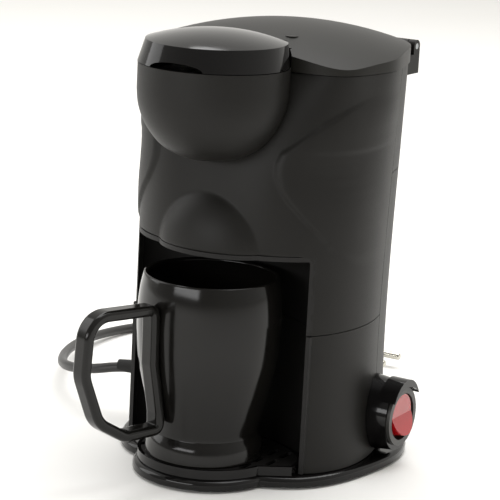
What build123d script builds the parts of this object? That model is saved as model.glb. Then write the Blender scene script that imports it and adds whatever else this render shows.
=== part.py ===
"""One-cup drip coffee maker: an assembly of separate shells, water circuit, heater, switch, mug and cord.

The frame is in millimetres: +X to the right, -Y to the front, +Z up.
The origin is the middle of the surface that the machine stands on, in its plane of symmetry.
"""

import os
from math import cos, pi, radians, sin

from build123d import *

os.makedirs("parts", exist_ok=True)


def save(builder, label):
    """Label the finished sub-part and write it as one STEP file."""
    builder.part.label = label
    export_step(builder.part, f"parts/{label}.step")


# --- Driving dimensions ------------------------------------------------------------------

wall = 2.2                  # moulded housing wall
gap = 0.4                   # visible seam between mouldings

foot_proud = 1.4            # rubber feet below the base
base_top = 6.0              # flange height
waist_z = 74.0              # seam between lower and upper housing
rear_seam_z = 145.0         # seam between rear cover and tank wall
rear_seam_y = 27.0          # vertical seam between front shells and rear shells
rim_z = 196.0               # top rim of the housing
deck_z = 190.0              # underside of the inner deck

niche_half = 47.5           # half width of the mug niche
niche_mouth_y = -33.0       # where the niche meets the side walls
niche_back_y = -3.0         # deepest point of the niche
niche_top_z = 112.0         # niche ceiling

bowl_y = -48.0              # centre of the filter bowl
bowl_r = 35.1               # bowl radius at its rim
bowl_rim_z = 198.3
bowl_low_z = 154.0          # lowest point of the bowl

mug_y = -41.2               # mug axis
mug_low_z = 10.7            # the mug stands on the grille
mug_high_z = 97.8
mug_wall = 2.4
handle_turn = -16.0         # the mug's handle is turned towards the left

funnel_neck_r = 8.0

tray_low_z = 6.2
tray_top_z = 10.6

pod_y = 26.0                # switch pod centre
pod_z = 25.5
pod_face_x = 70.5           # plane of the switch bezel
rocker_tilt = 11.0          # the rocker rests with its upper half pressed

cord_d = 5.2                # mains lead diameter
boot_exit = (-59.5, 12.0, 27.0)


# --- Plan outlines -----------------------------------------------------------------------

def plan(front, shoulder, corner, half, inset=0.0, rear=77.0):
    """Closed, smooth outline of the housing at one height, pulled in by inset."""
    i = inset
    d = 0.7 * inset
    right = [
        (shoulder[0], shoulder[1] + i),
        (corner[0] - d, corner[1] + d),
        (half - 2.0 - i, corner[1] + 16.0 + 0.2 * i),
        (half - i, 10.0),
        (0.93 * half - i, 30.0),
        (0.80 * half - d, 51.0 - d),
        (0.48 * half, 70.5 - i),
    ]
    left = [(-x, y) for x, y in reversed(right)]
    return [(0.0, front + i)] + right + [(0.0, rear - i)] + left


def housing_section(z, inset=0.0):
    """Outline of the housing at one of its four design heights."""
    if z == base_top:
        return plan(-40.0, (34.0, -38.0), (50.0, -30.0), 61.5, inset)
    if z == waist_z:
        return plan(-46.0, (32.0, -42.0), (49.5, -30.0), 58.8, inset)
    if z == 128.0:
        return plan(-49.0, (30.0, -45.0), (50.0, -29.0), 60.0, inset)
    return plan(-30.0, (36.0, -28.5), (54.5, -22.0), 62.3, inset)


def housing_loft(inset=0.0, low=base_top, high=rim_z):
    """Solid between the four outlines, trimmed to low..high."""
    with BuildPart() as solid:
        for z in (base_top, waist_z, 128.0, rim_z):
            with BuildSketch(Plane.XY.offset(z)):
                with BuildLine():
                    Spline(*housing_section(z, inset), periodic=True)
                make_face()
        loft()
        with BuildSketch(Plane.XY.offset(low)):
            Rectangle(200, 240)
        extrude(amount=high - low, mode=Mode.INTERSECT)
    return solid.part


def shell_between(low, high, thickness=wall):
    """Ring of housing wall between two heights."""
    with BuildPart() as ring:
        add(housing_loft(0.0, low, high))
        add(housing_loft(thickness, low - 0.01, high + 0.01), mode=Mode.SUBTRACT)
    return ring.part


def slab(x0, x1, y0, y1, z0, z1):
    """Plain block given by its corners."""
    with BuildPart() as block:
        with BuildSketch(Plane.XY.offset(z0)):
            with Locations(((x0 + x1) / 2, (y0 + y1) / 2)):
                Rectangle(x1 - x0, y1 - y0)
        extrude(amount=z1 - z0)
    return block.part


def niche_prism(inset, low, high):
    """Niche space: straight sided at its mouth, half oval at its back."""
    half = niche_half - inset
    depth = niche_back_y - niche_mouth_y - inset
    with BuildPart() as space:
        with BuildSketch(Plane.XY.offset(low)):
            with Locations((0, niche_mouth_y)):
                Ellipse(half, depth)
            with Locations((0, niche_mouth_y - 40)):
                Rectangle(2 * half, 80)
        extrude(amount=high - low)
    return space.part


def bowl_solid(inset, top):
    """Round filter bowl that narrows to a soft tip."""
    r = bowl_r - inset
    with BuildPart() as bowl:
        with BuildSketch(Plane.YZ):
            with BuildLine():
                Polyline((0, bowl_low_z + inset), (0, top), (r, top), (r, 186.0))
                Spline((r, 186.0), (r - 3.2, 172.0), (r - 12.0, 160.5), (0, bowl_low_z + inset),
                       tangents=((0, -1), (-1, 0)))
            make_face()
        revolve(axis=Axis.Z)
    return bowl.part.moved(Location((0, bowl_y, 0)))


# --- Base, feet and tray -----------------------------------------------------------------

flange_front_y = -38.6
flange_lobe_r = 35.4


def flange_outline(inset=0.0):
    """Base outline: rounded body with a round lobe in front for the mug."""
    i = inset
    right = [(40.0, -43.5 + i), (53.6 - i, -32.7 + i), (61.3 - i, -19.0), (66.5 - i, 1.3),
             (68.6 - i, 28.0), (60.0 - i, 56.0 - i), (34.0, 77.0 - i)]
    left = [(-x, y) for x, y in reversed(right)]
    return [(0.0, -48.0 + i)] + right + [(0.0, 84.0 - i)] + left


flange_round = 2.6
foot_r = 5.8
foot_places = [(x, y) for x in (-42, 42) for y in (-28, 58)] + [(0, 0)]
screw_places = [(-50, 8), (50, 8), (-44, 44), (44, 44)]


def flange_body():
    """Main part of the flange, its upper edge rounded over."""
    with BuildPart() as body:
        with BuildSketch(Plane.XY.offset(foot_proud)):
            with BuildLine():
                Spline(*flange_outline(), periodic=True)
            make_face()
        extrude(amount=base_top - foot_proud)
        fillet(body.edges().group_by(Axis.Z)[-1], radius=flange_round)
    return body.part


def flange_lobe():
    """Round front lobe of the flange."""
    with BuildPart() as lobe:
        with BuildSketch(Plane.XY.offset(foot_proud)):
            with Locations((0, flange_front_y)):
                Circle(flange_lobe_r)
        extrude(amount=base_top - foot_proud)
        fillet(lobe.edges().group_by(Axis.Z)[-1], radius=flange_round)
    return lobe.part


with BuildPart() as base_plate:
    add(flange_body())
    add(flange_lobe())
    with BuildSketch(Plane.XY.offset(foot_proud + 2.4)):
        with BuildLine():
            Spline(*flange_outline(9.0), periodic=True)
        make_face()
        with Locations((0, -60)):
            Rectangle(200, 120 + 2 * niche_back_y + 6, mode=Mode.SUBTRACT)
    extrude(amount=10, mode=Mode.SUBTRACT)
    with BuildSketch(Plane.XY.offset(foot_proud)):
        with Locations(*foot_places):
            Circle(foot_r + 0.1)
    extrude(amount=1.0, mode=Mode.SUBTRACT)
    with BuildSketch(Plane.XY.offset(foot_proud)):
        with Locations(*screw_places):
            Circle(1.7)
    extrude(amount=10, mode=Mode.SUBTRACT)
    with BuildSketch(Plane.XY.offset(foot_proud)):
        with Locations(*screw_places):
            Circle(3.2)
    extrude(amount=1.6, mode=Mode.SUBTRACT)
    with BuildSketch(Plane.XY.offset(foot_proud + 0.4)):
        with Locations((-32, 35), (32, 35)):
            Circle(1.5)
    extrude(amount=5, mode=Mode.SUBTRACT)
save(base_plate, "base_plate")

with BuildPart() as feet:
    with BuildSketch(Plane.XY):
        with Locations(*foot_places):
            Circle(foot_r)
    extrude(amount=foot_proud + 1.0)
save(feet, "feet")

# --- Outer shells ------------------------------------------------------------------------

front_side = slab(-120, 120, -160, rear_seam_y - gap / 2, -5, 260)
rear_side = slab(-120, 120, rear_seam_y + gap / 2, 160, -5, 260)

neck_y = -36.5              # axis of the funnel's outlet
neck_r = 5.5
bulge_y = -37.0
bulge_half = 30.0
bulge_deep = 21.0
bulge_high = 31.0


def bulge_solid(inset):
    """Low dome on the front wall above the mug."""
    with BuildPart() as dome:
        Sphere(1.0)
        scale(by=(bulge_half - inset, bulge_deep - inset, bulge_high - inset))
    return dome.part.moved(Location((0, bulge_y, niche_top_z)))


def niche_wall(low, high):
    """Wall around the niche, one wall thickness behind the niche space."""
    with BuildPart() as lining:
        add(niche_prism(-wall, low, high))
        add(housing_loft(0.0, low, high), mode=Mode.INTERSECT)
    return lining.part


def rod(x, y, z, radius, length, direction=(0, 0, 1)):
    """Round rod that starts at a point and runs along a direction."""
    with BuildPart() as bar:
        with BuildSketch(Plane(origin=(x, y, z), z_dir=direction)):
            Circle(radius)
        extrude(amount=length)
    return bar.part


pod_width = 31.0
pod_height = 37.0
barrel_r = 13.0
boot_hole_r = 4.0

with BuildPart() as lower_housing:
    add(shell_between(base_top + gap, waist_z - gap / 2))
    add(front_side, mode=Mode.INTERSECT)
    add(niche_wall(base_top + gap, waist_z - gap / 2))
    add(niche_prism(0.0, 0, 80), mode=Mode.SUBTRACT)
    for side in (-1, 1):
        add(slab(side * 56.0 - 4.0, side * 56.0 + 4.0, 6.0, 10.0, base_top + gap, 24.0))
        add(rod(side * 50.0, 8.0, base_top + gap, 4.4, 18.0))
    add(housing_loft(0.0, base_top, waist_z), mode=Mode.INTERSECT)
    for side in (-1, 1):
        add(rod(side * 50.0, 8.0, 0.0, 1.5, 20.0), mode=Mode.SUBTRACT)
    add(rod(40.0, pod_y, pod_z, barrel_r + 0.3, 60.0, (1, 0, 0)), mode=Mode.SUBTRACT)
    add(rod(-70.0, boot_exit[1], boot_exit[2], boot_hole_r + 0.1, 30.0, (1, 0, 0)), mode=Mode.SUBTRACT)
save(lower_housing, "lower_housing")

with BuildPart() as niche_hood:
    add(niche_wall(waist_z + gap / 2, niche_top_z))
    with BuildPart(mode=Mode.PRIVATE) as hood_lip:
        add(bulge_solid(0.0))
        add(slab(-60, 60, -70, 0, niche_top_z - wall, niche_top_z), mode=Mode.INTERSECT)
    add(hood_lip.part)
    add(niche_prism(0.0, 0, niche_top_z - wall), mode=Mode.SUBTRACT)
    add(rod(0, neck_y, 90, neck_r + 0.6, 40), mode=Mode.SUBTRACT)
save(niche_hood, "niche_hood")

with BuildPart() as upper_housing:
    add(shell_between(waist_z + gap / 2, rim_z))
    add(bulge_solid(0.0))
    add(front_side, mode=Mode.INTERSECT)
    add(slab(-120, 120, -160, 160, waist_z + gap / 2, rim_z), mode=Mode.INTERSECT)
    add(bulge_solid(wall), mode=Mode.SUBTRACT)
    add(bowl_solid(0.0, bowl_rim_z))
    add(bowl_solid(wall, bowl_rim_z + 1), mode=Mode.SUBTRACT)
    add(niche_prism(-wall - 0.02, 0, niche_top_z + 0.02), mode=Mode.SUBTRACT)
    add(slab(-40, 40, -90, bulge_y, 60, niche_top_z + 0.02), mode=Mode.SUBTRACT)
    add(rod(0, neck_y, 120, neck_r + 0.4, 50), mode=Mode.SUBTRACT)
save(upper_housing, "upper_housing")

with BuildPart() as rear_cover:
    add(shell_between(base_top + gap, rear_seam_z - gap / 2))
    add(rear_side, mode=Mode.INTERSECT)
    for side in (-1, 1):
        add(slab(side * 49.0 - 7.0, side * 49.0 + 7.0, 42.0, 46.0, base_top + gap, 24.0))
        add(rod(side * 44.0, 44.0, base_top + gap, 4.4, 18.0))
    add(housing_loft(0.0, base_top, rear_seam_z), mode=Mode.INTERSECT)
    for side in (-1, 1):
        add(rod(side * 44.0, 44.0, 0.0, 1.5, 20.0), mode=Mode.SUBTRACT)
    add(rod(40.0, pod_y, pod_z, barrel_r + 0.3, 60.0, (1, 0, 0)), mode=Mode.SUBTRACT)
save(rear_cover, "rear_cover")

hinge_y = 79.0
hinge_z = 199.6
hinge_pin_r = 1.5
hinge_eye_r = 3.2
hinge_places = (-30.0, 30.0)

with BuildPart() as tank_wall:
    add(shell_between(rear_seam_z + gap / 2, rim_z))
    add(rear_side, mode=Mode.INTERSECT)
    for place in hinge_places:
        for ear in (-8.5, 8.5):
            x = place + ear
            add(slab(x - 2, x + 2, 64.0, hinge_y + hinge_eye_r, 186.0, rim_z - gap))
            add(slab(x - 2, x + 2, hinge_y - hinge_eye_r, hinge_y + hinge_eye_r, 190.0, hinge_z))
            add(rod(x - 2, hinge_y, hinge_z, hinge_eye_r, 4.0, (1, 0, 0)))
            add(rod(x - 3, hinge_y, hinge_z, hinge_pin_r, 6.0, (1, 0, 0)), mode=Mode.SUBTRACT)
    add(housing_loft(4.2, 180.0, rim_z), mode=Mode.SUBTRACT)
save(tank_wall, "tank_wall")

with BuildPart() as hinge_pins:
    for place in hinge_places:
        add(rod(place - 10.5, hinge_y, hinge_z, hinge_pin_r, 21.0, (1, 0, 0)))
save(hinge_pins, "hinge_pins")

# --- Lid with its round front cap --------------------------------------------------------

lid_low_z = rim_z + gap
lid_crown_z = 213.5
lid_crown_y = 22.0
lid_dome_r = 185.0
cap_y = -48.4
cap_r = 35.1
cap_low_z = bowl_rim_z + gap
cap_edge_z = 209.5
cap_edge_y = -45.6
cap_edge_r = 32.2
cap_crown_z = 214.6
channel_half = 8.0


def lid_solid(inset):
    """Domed lid over the rear of the housing."""
    with BuildPart() as dome:
        with BuildSketch(Plane.XY.offset(lid_low_z - (1 if inset else 0))):
            with BuildLine():
                Spline(*housing_section(rim_z, inset - 0.8), periodic=True)
            make_face()
        extrude(amount=30)
        with Locations((0, lid_crown_y, lid_crown_z - inset - lid_dome_r)):
            Sphere(lid_dome_r, mode=Mode.INTERSECT)
    return dome.part


def cap_solid(inset):
    """Raked round cap with a shallow crown."""
    low = cap_low_z - (1 if inset else 0)
    with BuildPart() as cap:
        with BuildSketch(Plane.XY.offset(low)):
            with Locations((0, cap_y)):
                Circle(cap_r - inset)
        with BuildSketch(Plane.XY.offset(cap_crown_z + 4)):
            with Locations((0, cap_edge_y + 0.6)):
                Circle(cap_edge_r - inset - 1.5)
        loft()
        crown_r = (cap_edge_r**2 + (cap_crown_z - cap_edge_z)**2) / (2 * (cap_crown_z - cap_edge_z))
        with Locations((0, cap_edge_y, cap_crown_z - inset - crown_r)):
            Sphere(crown_r, mode=Mode.INTERSECT)
    return cap.part


with BuildPart() as lid_screws:
    for side in (-1, 1):
        add(rod(side * 18, -9.0, 201.8, 2.4, 1.6))
        add(rod(side * 18, -9.0, 203.4, 1.2, 5.6))
save(lid_screws, "lid_screws")

with BuildPart() as tank_lid:
    add(lid_solid(0.0))
    rod_around_cap = rod(0, cap_y, 180, cap_r + gap, 60)
    add(rod_around_cap, mode=Mode.SUBTRACT)
    with BuildPart(mode=Mode.PRIVATE) as lid_hollow:
        add(lid_solid(wall))
        add(rod(0, cap_y, 180, cap_r + gap + wall, 60), mode=Mode.SUBTRACT)
    add(lid_hollow.part, mode=Mode.SUBTRACT)
    add(slab(-26, 26, -24, -4, lid_low_z - 1, 206.2), mode=Mode.SUBTRACT)
    for side in (-1, 1):
        add(rod(side * 18, -9.0, 206.0, 3.2, 4.0))
    add(lid_screws.part, mode=Mode.SUBTRACT)
    for place in hinge_places:
        add(slab(place - 6, place + 6, 68.6, hinge_y, hinge_z - 2.4, hinge_z + 2.4))
        add(rod(place - 6, hinge_y, hinge_z, hinge_eye_r, 12.0, (1, 0, 0)))
        add(rod(place - 7, hinge_y, hinge_z, hinge_pin_r + 0.06, 14.0, (1, 0, 0)), mode=Mode.SUBTRACT)
save(tank_lid, "tank_lid")

with BuildPart() as filter_cap:
    add(cap_solid(0.0))
    add(cap_solid(wall), mode=Mode.SUBTRACT)
    add(slab(-channel_half, channel_half, -30, 0, cap_low_z - 1, 207.5), mode=Mode.SUBTRACT)
    with BuildPart(mode=Mode.PRIVATE) as finger_scoop:
        with BuildSketch(Plane.XZ.offset(70)):
            with Locations((0, cap_low_z)):
                Ellipse(14.0, 3.2)
        extrude(amount=40)
    add(finger_scoop.part, mode=Mode.SUBTRACT)
    for side in (-1, 1):
        add(slab(side * 18 - 5, side * 18 + 5, -18.5, -5.0, 203.4, 205.8))
    add(lid_screws.part, mode=Mode.SUBTRACT)
save(filter_cap, "filter_cap")

# --- Tank, deck and water path -----------------------------------------------------------

tank_low_z = 128.0
tank_high_z = 190.0
tank_front_y = 3.0
outlet_x = 26.0
outlet_y = 30.0
riser_y = -5.5
hose_r = 3.6
hose_bore = 2.2


def hose(points, radii, outer=hose_r, inner=hose_bore):
    """Hollow hose along straight runs joined by arcs."""
    with BuildPart() as tube:
        with BuildLine() as path:
            FilletPolyline(*points, radius=radii)
        start = path.line @ 0
        with BuildSketch(Plane(origin=start, z_dir=path.line % 0)):
            Circle(outer)
            if inner:
                Circle(inner, mode=Mode.SUBTRACT)
        sweep()
    return tube.part


with BuildPart() as water_tank:
    add(housing_loft(5.0, tank_low_z, tank_high_z))
    add(slab(-80, 80, -90, tank_front_y, 100, 220), mode=Mode.SUBTRACT)
    with BuildPart(mode=Mode.PRIVATE) as tank_space:
        add(housing_loft(6.8, tank_low_z + 2, tank_high_z + 1))
        add(slab(-80, 80, -90, tank_front_y + 1.8, 100, 220), mode=Mode.SUBTRACT)
    add(tank_space.part, mode=Mode.SUBTRACT)
    add(rod(outlet_x, outlet_y, tank_low_z - 12, 5.0, 13.0))
    add(rod(outlet_x, outlet_y, tank_low_z - 13, 3.2, 20.0), mode=Mode.SUBTRACT)
save(water_tank, "water_tank")

with BuildPart() as deck:
    add(housing_loft(2.6, deck_z + 0.4, deck_z + 2.6))
    add(rod(0, bowl_y, 180, bowl_r + 0.4, 30), mode=Mode.SUBTRACT)
    with BuildPart(mode=Mode.PRIVATE) as fill_mouth:
        add(housing_loft(15.0, deck_z, deck_z + 3))
        add(slab(-80, 80, -90, tank_front_y + 8, 100, 220), mode=Mode.SUBTRACT)
    add(fill_mouth.part, mode=Mode.SUBTRACT)
    add(rod(0, riser_y, 180, 4.2, 30), mode=Mode.SUBTRACT)
    for place in hinge_places:
        add(slab(place - 11, place + 11, 62.0, 90.0, 180, 200), mode=Mode.SUBTRACT)
save(deck, "deck")

with BuildPart() as brew_funnel:
    with BuildSketch(Plane.XY.offset(178)):
        with Locations((0, bowl_y)):
            Circle(30.6)
    extrude(amount=18.0)
    with BuildSketch(Plane.XY.offset(194.6)):
        with Locations((0, bowl_y)):
            Circle(32.6)
    extrude(amount=1.6)
    with BuildSketch(Plane.XY.offset(178)):
        with Locations((0, bowl_y)):
            Circle(30.6)
    with BuildSketch(Plane.XY.offset(163)):
        with Locations((0, neck_y - 1.5)):
            Circle(8.5)
    loft()
    add(rod(0, neck_y, 106.0, neck_r, 58.0))
    with BuildSketch(Plane.XY.offset(178)):
        with Locations((0, bowl_y)):
            Circle(29.2)
    extrude(amount=30.0, mode=Mode.SUBTRACT)
    with BuildSketch(Plane.XY.offset(178)):
        with Locations((0, bowl_y)):
            Circle(29.2)
    with BuildSketch(Plane.XY.offset(164.6)):
        with Locations((0, neck_y - 1.5)):
            Circle(7.0)
    loft(mode=Mode.SUBTRACT)
    add(rod(0, neck_y, 100.0, neck_r - 1.4, 70.0), mode=Mode.SUBTRACT)
save(brew_funnel, "brew_funnel")

basket_low_z = 180.0
basket_high_z = 197.6
basket_r = 27.6

with BuildPart() as filter_basket:
    add(rod(0, bowl_y, basket_high_z - 1.4, 31.5, 1.4))
    add(rod(0, bowl_y, basket_low_z, basket_r, basket_high_z - basket_low_z))
    add(rod(0, bowl_y, basket_low_z + 1.2, basket_r - 1.4, 40), mode=Mode.SUBTRACT)
    for step in range(6):
        window = slab(-9, 9, 20, 40, basket_low_z + 3.4, basket_high_z - 4.4)
        add(window.rotate(Axis.Z, 60 * step).moved(Location((0, bowl_y, 0))), mode=Mode.SUBTRACT)
        pane = slab(-3.5, 3.5, 9, 22, basket_low_z - 1, basket_low_z + 2)
        add(pane.rotate(Axis.Z, 60 * step).moved(Location((0, bowl_y, 0))), mode=Mode.SUBTRACT)
save(filter_basket, "filter_basket")

with BuildPart() as filter_mesh:
    add(rod(0, bowl_y, basket_low_z + 1.2, basket_r - 1.4, basket_high_z - basket_low_z - 4.0))
    add(rod(0, bowl_y, basket_low_z + 1.7, basket_r - 1.9, 40), mode=Mode.SUBTRACT)
save(filter_mesh, "filter_mesh")

with BuildPart() as spout_arm:
    add(slab(-5, 5, -52, riser_y + 5, 201.0, 206.0))
    add(rod(0, bowl_y, 199.6, 8.0, 3.4))
    add(rod(0, riser_y, deck_z + 4.0, 5.0, 11.0))
    add(slab(-3, 3, -50, riser_y + 3, 202.4, 204.6), mode=Mode.SUBTRACT)
    add(rod(0, riser_y, deck_z, hose_r + 0.1, 13.0), mode=Mode.SUBTRACT)
    for step in range(6):
        hole = rod(5, 0, 199, 0.9, 4.4).rotate(Axis.Z, 60 * step).moved(Location((0, bowl_y, 0)))
        add(hole, mode=Mode.SUBTRACT)
save(spout_arm, "spout_arm")

# --- Heater ------------------------------------------------------------------------------

heater_half = 26.0
heater_front_y = 27.0
heater_back_y = 58.0
pipe_z = 44.0
element_z = 32.5
pipe_r = 4.0
element_r = 3.2
pipe_front_y = 15.0
pipe_end_z = 60.0


def pipe_route():
    """Corners of the water pipe: up at both ends, once around the heater."""
    h = heater_half
    return [(h, pipe_front_y, pipe_end_z), (h, pipe_front_y, pipe_z), (h, heater_back_y, pipe_z),
            (-h, heater_back_y, pipe_z), (-h, pipe_front_y, pipe_z), (-h, pipe_front_y, pipe_end_z)]


def element_route():
    """Corners of the sheathed element below the pipe."""
    h = heater_half
    return [(h, pipe_front_y + 4, element_z), (h, heater_back_y, element_z),
            (-h, heater_back_y, element_z), (-h, pipe_front_y + 4, element_z)]


def u_block(half, back, corner, low, high):
    """Slab with two rounded rear corners."""
    with BuildPart() as block:
        with BuildSketch(Plane.XY.offset(low)):
            with Locations((0, (heater_front_y + back) / 2)):
                Rectangle(2 * half, back - heater_front_y)
        extrude(amount=high - low)
        fillet(block.edges().filter_by(Axis.Z).group_by(Axis.Y)[-1], radius=corner)
    return block.part


pipe_radii = [7.0, 20.0, 20.0, 7.0]

with BuildPart() as heater_block:
    add(u_block(heater_half + 7, heater_back_y + 7, 27.0, 27.0, 50.0))
    add(u_block(heater_half - 7, heater_back_y - 7, 13.0, 20.0, 60.0), mode=Mode.SUBTRACT)
    add(hose(pipe_route(), pipe_radii, pipe_r, 0), mode=Mode.SUBTRACT)
    add(hose(element_route(), [20.0, 20.0], element_r, 0), mode=Mode.SUBTRACT)
save(heater_block, "heater_block")

with BuildPart() as water_pipe:
    add(hose(pipe_route(), pipe_radii, pipe_r, pipe_r - 1.0))
save(water_pipe, "water_pipe")

with BuildPart() as heating_element:
    add(hose(element_route(), [20.0, 20.0], element_r, 0))
    for side in (-1, 1):
        add(rod(side * heater_half, pipe_front_y - 3, element_z, 1.1, 8.0, (0, 1, 0)))
save(heating_element, "heating_element")

bracket_z = 25.4
bracket_y = (29.0, 41.0)
base_floor_z = foot_proud + 2.4

with BuildPart() as heater_bracket:
    add(slab(-38, 38, bracket_y[0], bracket_y[1], bracket_z, 27.0))
    for side in (-1, 1):
        add(slab(side * 37.2 - 0.8, side * 37.2 + 0.8, bracket_y[0], bracket_y[1], base_floor_z, 27.0))
        add(slab(side * 33 - 5, side * 33 + 5, bracket_y[0], bracket_y[1], base_floor_z, base_floor_z + 1.6))
        add(rod(side * 32, 35.0, 0, 1.7, 10), mode=Mode.SUBTRACT)
save(heater_bracket, "heater_bracket")

with BuildPart() as thermostat:
    add(rod(0, heater_back_y, 50.0, 6.8, 5.0))
    add(rod(0, heater_back_y, 55.0, 5.0, 3.0))
    for side in (-1, 1):
        add(slab(side * 9 - 4, side * 9 + 4, heater_back_y - 2, heater_back_y + 2, 54.2, 55.0))
save(thermostat, "thermostat")

with BuildPart() as thermal_fuse:
    add(rod(-heater_half, 34.0, 52.2, 2.2, 12.0, (0, 1, 0)))
    add(rod(-heater_half, 28.0, 52.2, 0.6, 24.0, (0, 1, 0)))
save(thermal_fuse, "thermal_fuse")

# --- Hoses and check valve ---------------------------------------------------------------

valve_low_z = 92.0
valve_high_z = 108.0
valve_r = 6.0
ball_r = 2.6
ball_play = 2.0
ball_rest_z = 97.0

with BuildPart() as valve_body:
    add(rod(outlet_x, outlet_y, valve_low_z, valve_r, valve_high_z - valve_low_z))
    add(rod(outlet_x, outlet_y, valve_low_z - 6, hose_bore - 0.1, 28.0))
    add(rod(outlet_x, outlet_y, valve_low_z - 7, 1.3, 30.0), mode=Mode.SUBTRACT)
    add(rod(outlet_x, outlet_y, ball_rest_z - ball_r - 0.3, ball_r + 0.5, 2 * ball_r + ball_play + 0.9),
        mode=Mode.SUBTRACT)
save(valve_body, "valve_body")

with BuildPart() as valve_ball:
    with Locations((outlet_x, outlet_y, ball_rest_z)):
        Sphere(ball_r)
save(valve_ball, "valve_ball")

with BuildPart() as outlet_hose:
    add(rod(outlet_x, outlet_y, valve_high_z, hose_r, 17.0))
    add(rod(outlet_x, outlet_y, valve_high_z - 1, hose_bore, 20.0), mode=Mode.SUBTRACT)
    add(rod(outlet_x, outlet_y, tank_low_z - 12.5, hose_r + 1, 12.0), mode=Mode.SUBTRACT)
save(outlet_hose, "outlet_hose")

with BuildPart() as inlet_hose:
    add(hose([(outlet_x, outlet_y, valve_low_z), (outlet_x, outlet_y, 80.0),
              (heater_half, pipe_front_y, 70.0), (heater_half, pipe_front_y, pipe_end_z)], [6.0, 6.0]))
save(inlet_hose, "inlet_hose")

with BuildPart() as riser_hose:
    add(hose([(-heater_half, pipe_front_y, pipe_end_z), (-heater_half, pipe_front_y, 100.0),
              (0, 8.0, 112.0), (0, riser_y, 124.0), (0, riser_y, deck_z + 12.0)], [12.0, 10.0, 8.0]))
save(riser_hose, "riser_hose")

with BuildPart() as hose_clamps:
    for x, y, z in ((outlet_x, outlet_y, 86.0), (heater_half, pipe_front_y, 62.0),
                    (-heater_half, pipe_front_y, 62.0)):
        add(rod(x, y, z, hose_r + 0.9, 3.0))
        add(rod(x, y, z - 1, hose_r, 5.0), mode=Mode.SUBTRACT)
save(hose_clamps, "hose_clamps")

# --- Switch ------------------------------------------------------------------------------

bezel_r = 14.5
cavity_r = 11.6
rocker_r = 10.2
rocker_pivot_x = pod_face_x - 3.5
rocker_pin_r = 1.2


def pod_solid(inset):
    """Oval boss that stands out of the housing's side."""
    with BuildPart() as boss:
        with BuildSketch(Plane(origin=(48.0, pod_y, pod_z), x_dir=(0, 1, 0), z_dir=(1, 0, 0))):
            Ellipse(pod_width / 2 + 1.5 - inset, pod_height / 2 + 1.0 - inset)
        with BuildSketch(Plane(origin=(pod_face_x - inset, pod_y, pod_z), x_dir=(0, 1, 0), z_dir=(1, 0, 0))):
            Ellipse(pod_width / 2 - inset, pod_height / 2 - 1.5 - inset)
        loft()
    return boss.part


with BuildPart() as switch_pod:
    add(pod_solid(0.0))
    with BuildSketch(Plane(origin=(pod_face_x - 6, pod_y, pod_z), x_dir=(0, 1, 0), z_dir=(1, 0, 0))):
        with Locations((0, 1.0)):
            Ellipse(pod_width / 2 - 0.5, pod_height / 2 - 0.5)
        with Locations((0, -3.0)):
            Ellipse(pod_width / 2 + 3.0, pod_height / 2 - 0.5, mode=Mode.SUBTRACT)
    extrude(amount=9.5)
    add(pod_solid(2.0), mode=Mode.SUBTRACT)
    add(housing_loft(-0.1, base_top, waist_z), mode=Mode.SUBTRACT)
    add(rod(40, pod_y, pod_z, barrel_r + 0.1, 60, (1, 0, 0)), mode=Mode.SUBTRACT)
    add(slab(0, 120, -50, 100, -10, base_top + gap), mode=Mode.SUBTRACT)
save(switch_pod, "switch_pod")

with BuildPart() as switch_body:
    add(rod(pod_face_x, pod_y, pod_z, bezel_r, 1.7, (1, 0, 0)))
    add(rod(51.0, pod_y, pod_z, barrel_r, 25.0, (1, 0, 0)), mode=Mode.ADD)
    add(slab(pod_face_x + 1.7, 100, -20, 80, -20, 80), mode=Mode.SUBTRACT)
    add(rod(54.0, pod_y, pod_z, cavity_r, 30.0, (1, 0, 0)), mode=Mode.SUBTRACT)
    add(rod(rocker_pivot_x, pod_y - 15, pod_z, rocker_pin_r + 0.06, 30.0, (0, 1, 0)), mode=Mode.SUBTRACT)
save(switch_body, "switch_body")

with BuildPart() as switch_terminals:
    for z in (-6.0, 0.0, 6.0):
        add(slab(43.0, 51.0, pod_y - 3.1, pod_y + 3.1, pod_z + z - 0.4, pod_z + z + 0.4))
save(switch_terminals, "switch_terminals")

with BuildPart() as rocker_pin:
    add(rod(rocker_pivot_x, pod_y - 12.8, pod_z, rocker_pin_r, 25.6, (0, 1, 0)))
save(rocker_pin, "rocker_pin")

with BuildPart() as rocker_neutral:
    with BuildSketch(Plane.XZ):
        with BuildLine():
            Polyline((-5.0, 0), (-3.0, -rocker_r), (6.6, -rocker_r), (4.6, 0),
                     (6.6, rocker_r), (-3.0, rocker_r), (-5.0, 0))
        make_face()
    extrude(amount=12, both=True)
    add(rod(-10, 0, 0, rocker_r, 30, (1, 0, 0)), mode=Mode.INTERSECT)

with BuildPart() as switch_rocker:
    add(rocker_neutral.part.rotate(Axis.Y, -rocker_tilt).moved(Location((rocker_pivot_x, pod_y, pod_z))))
    add(rocker_pin.part, mode=Mode.SUBTRACT)
save(switch_rocker, "switch_rocker")

# --- Tray, grille and mug ----------------------------------------------------------------


def tray_solid(inset, low, high):
    """Tray outline: the niche's floor with a round lobe in front."""
    side = 46.3 - inset
    with BuildPart() as tray:
        with BuildSketch(Plane.XY.offset(low)):
            with Locations((0, -36.7)):
                Circle(34.4 - inset)
            with Locations((0, 0)):
                Rectangle(200, 66, mode=Mode.SUBTRACT)
            with BuildLine():
                Line((side, -33.0), (-side, -33.0))
                EllipticalCenterArc((0, -33.0), side, 28.6 - inset, start_angle=0, arc_size=180)
            make_face()
            with BuildLine():
                Polyline((-side, -33.0), (side, -33.0), (side, -36.5 + inset), (32.0, -46.4 + inset),
                         (-32.0, -46.4 + inset), (-side, -36.5 + inset), (-side, -33.0))
            make_face()
        extrude(amount=high - low)
    return tray.part


grille_t = 1.3

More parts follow.
